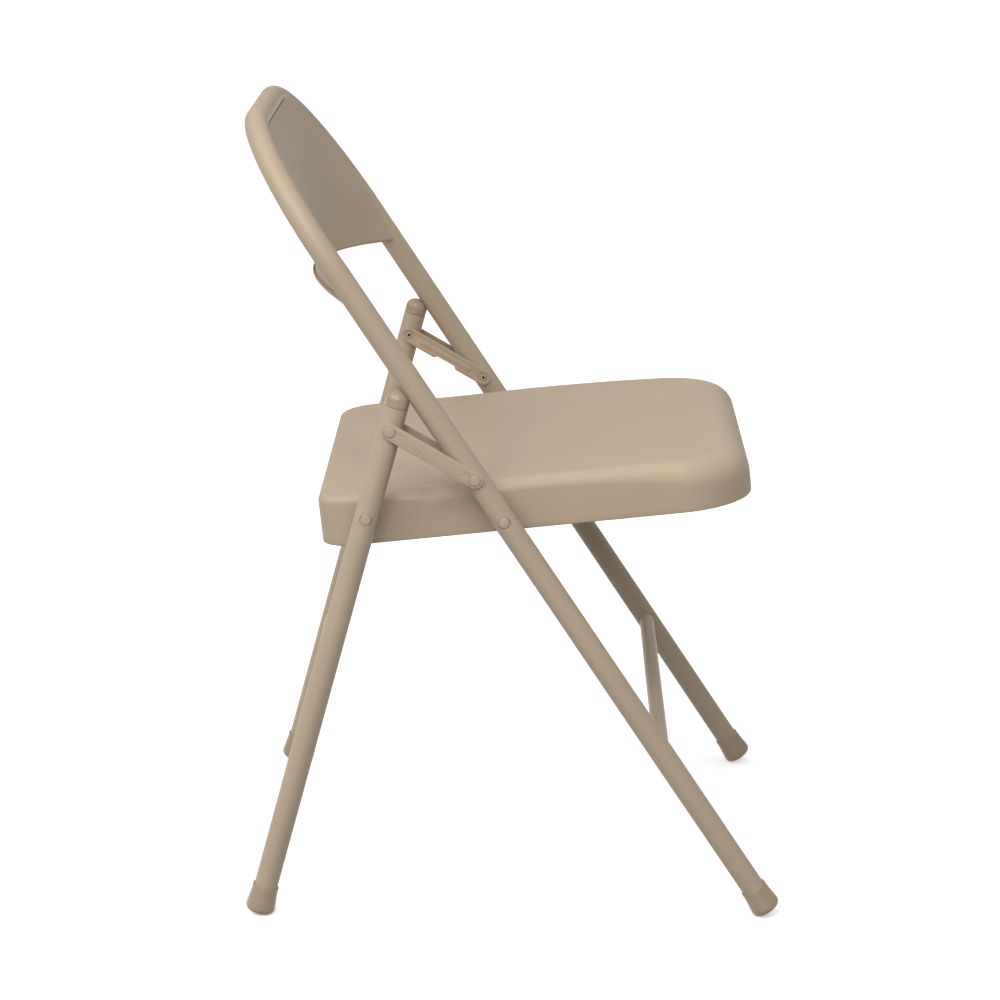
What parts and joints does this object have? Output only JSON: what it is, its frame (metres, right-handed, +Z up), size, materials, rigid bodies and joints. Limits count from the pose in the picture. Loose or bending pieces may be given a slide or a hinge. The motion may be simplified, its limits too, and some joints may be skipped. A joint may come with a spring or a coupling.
{
  "type": "folding chair",
  "caption": "Steel folding chair: bent tube frame with a curved sheet back, pressed sheet seat, and rear legs that fold flat on short links.",
  "frame": {"origin": "on the floor under the middle of the chair's bounding box", "axes": "+Z up, the sitter faces -Y, +X to the sitter's left"},
  "size_m": [0.472, 0.5034, 0.7446],
  "materials": {
    "tube_paint": "satin beige powder coat",
    "sheet_paint": "satin beige powder coat with a fine texture",
    "link_paint": "satin beige powder coat",
    "rivet_paint": "satin beige paint over steel",
    "foot_plastic": "satin moulded tan plastic",
    "cap_plastic": "semi-gloss moulded tan plastic"
  },
  "bodies": {
    "frame": {"front_frame": "tube_paint", "back_panel": "sheet_paint", "front_cross_brace": "tube_paint", "front_foot_right": "foot_plastic", "front_foot_left": "foot_plastic", "seat_pivot_rivets": "rivet_paint", "seat_pivot_spacers": "rivet_paint", "link_front_rivets": "rivet_paint"},
    "seat": {"seat_pan": "sheet_paint", "seat_cross_channel": "link_paint", "seat_pivot_plates": "link_paint", "seat_rear_studs": "rivet_paint"},
    "links": {"outer_link_right": "link_paint", "outer_link_left": "link_paint", "inner_link_right": "link_paint", "inner_link_left": "link_paint"},
    "rear_legs": {"rear_leg_right": "tube_paint", "rear_leg_left": "tube_paint", "rear_cross_brace": "tube_paint", "rear_foot_right": "foot_plastic", "rear_foot_left": "foot_plastic", "rear_cap_right": "cap_plastic", "rear_cap_left": "cap_plastic", "link_rear_rivets": "rivet_paint", "seat_rear_rivets": "rivet_paint", "seat_rear_spacers": "rivet_paint"}
  },
  "joints": [
    {"name": "seat_fold", "type": "hinge", "parent": "frame", "child": "seat", "pos_m": [0, 0.00763, 0.38519], "axis": [-1, 0, 0], "range_deg": [0, 112.96]},
    {"name": "link_swing", "type": "hinge", "parent": "frame", "child": "links", "pos_m": [0, 0.03405, 0.42541], "axis": [-1, 0, 0], "range_deg": [0, 137.46]},
    {"name": "rear_leg_fold", "type": "hinge", "parent": "links", "child": "rear_legs", "pos_m": [0, 0.11131, 0.47061], "axis": [1, 0, 0], "range_deg": [0, 88.84]}
  ],
  "couplings": [
    {"joint": "link_swing", "follows": "seat_fold", "ratio": 1.2165},
    {"joint": "rear_leg_fold", "follows": "seat_fold", "ratio": 0.78607}
  ]
}
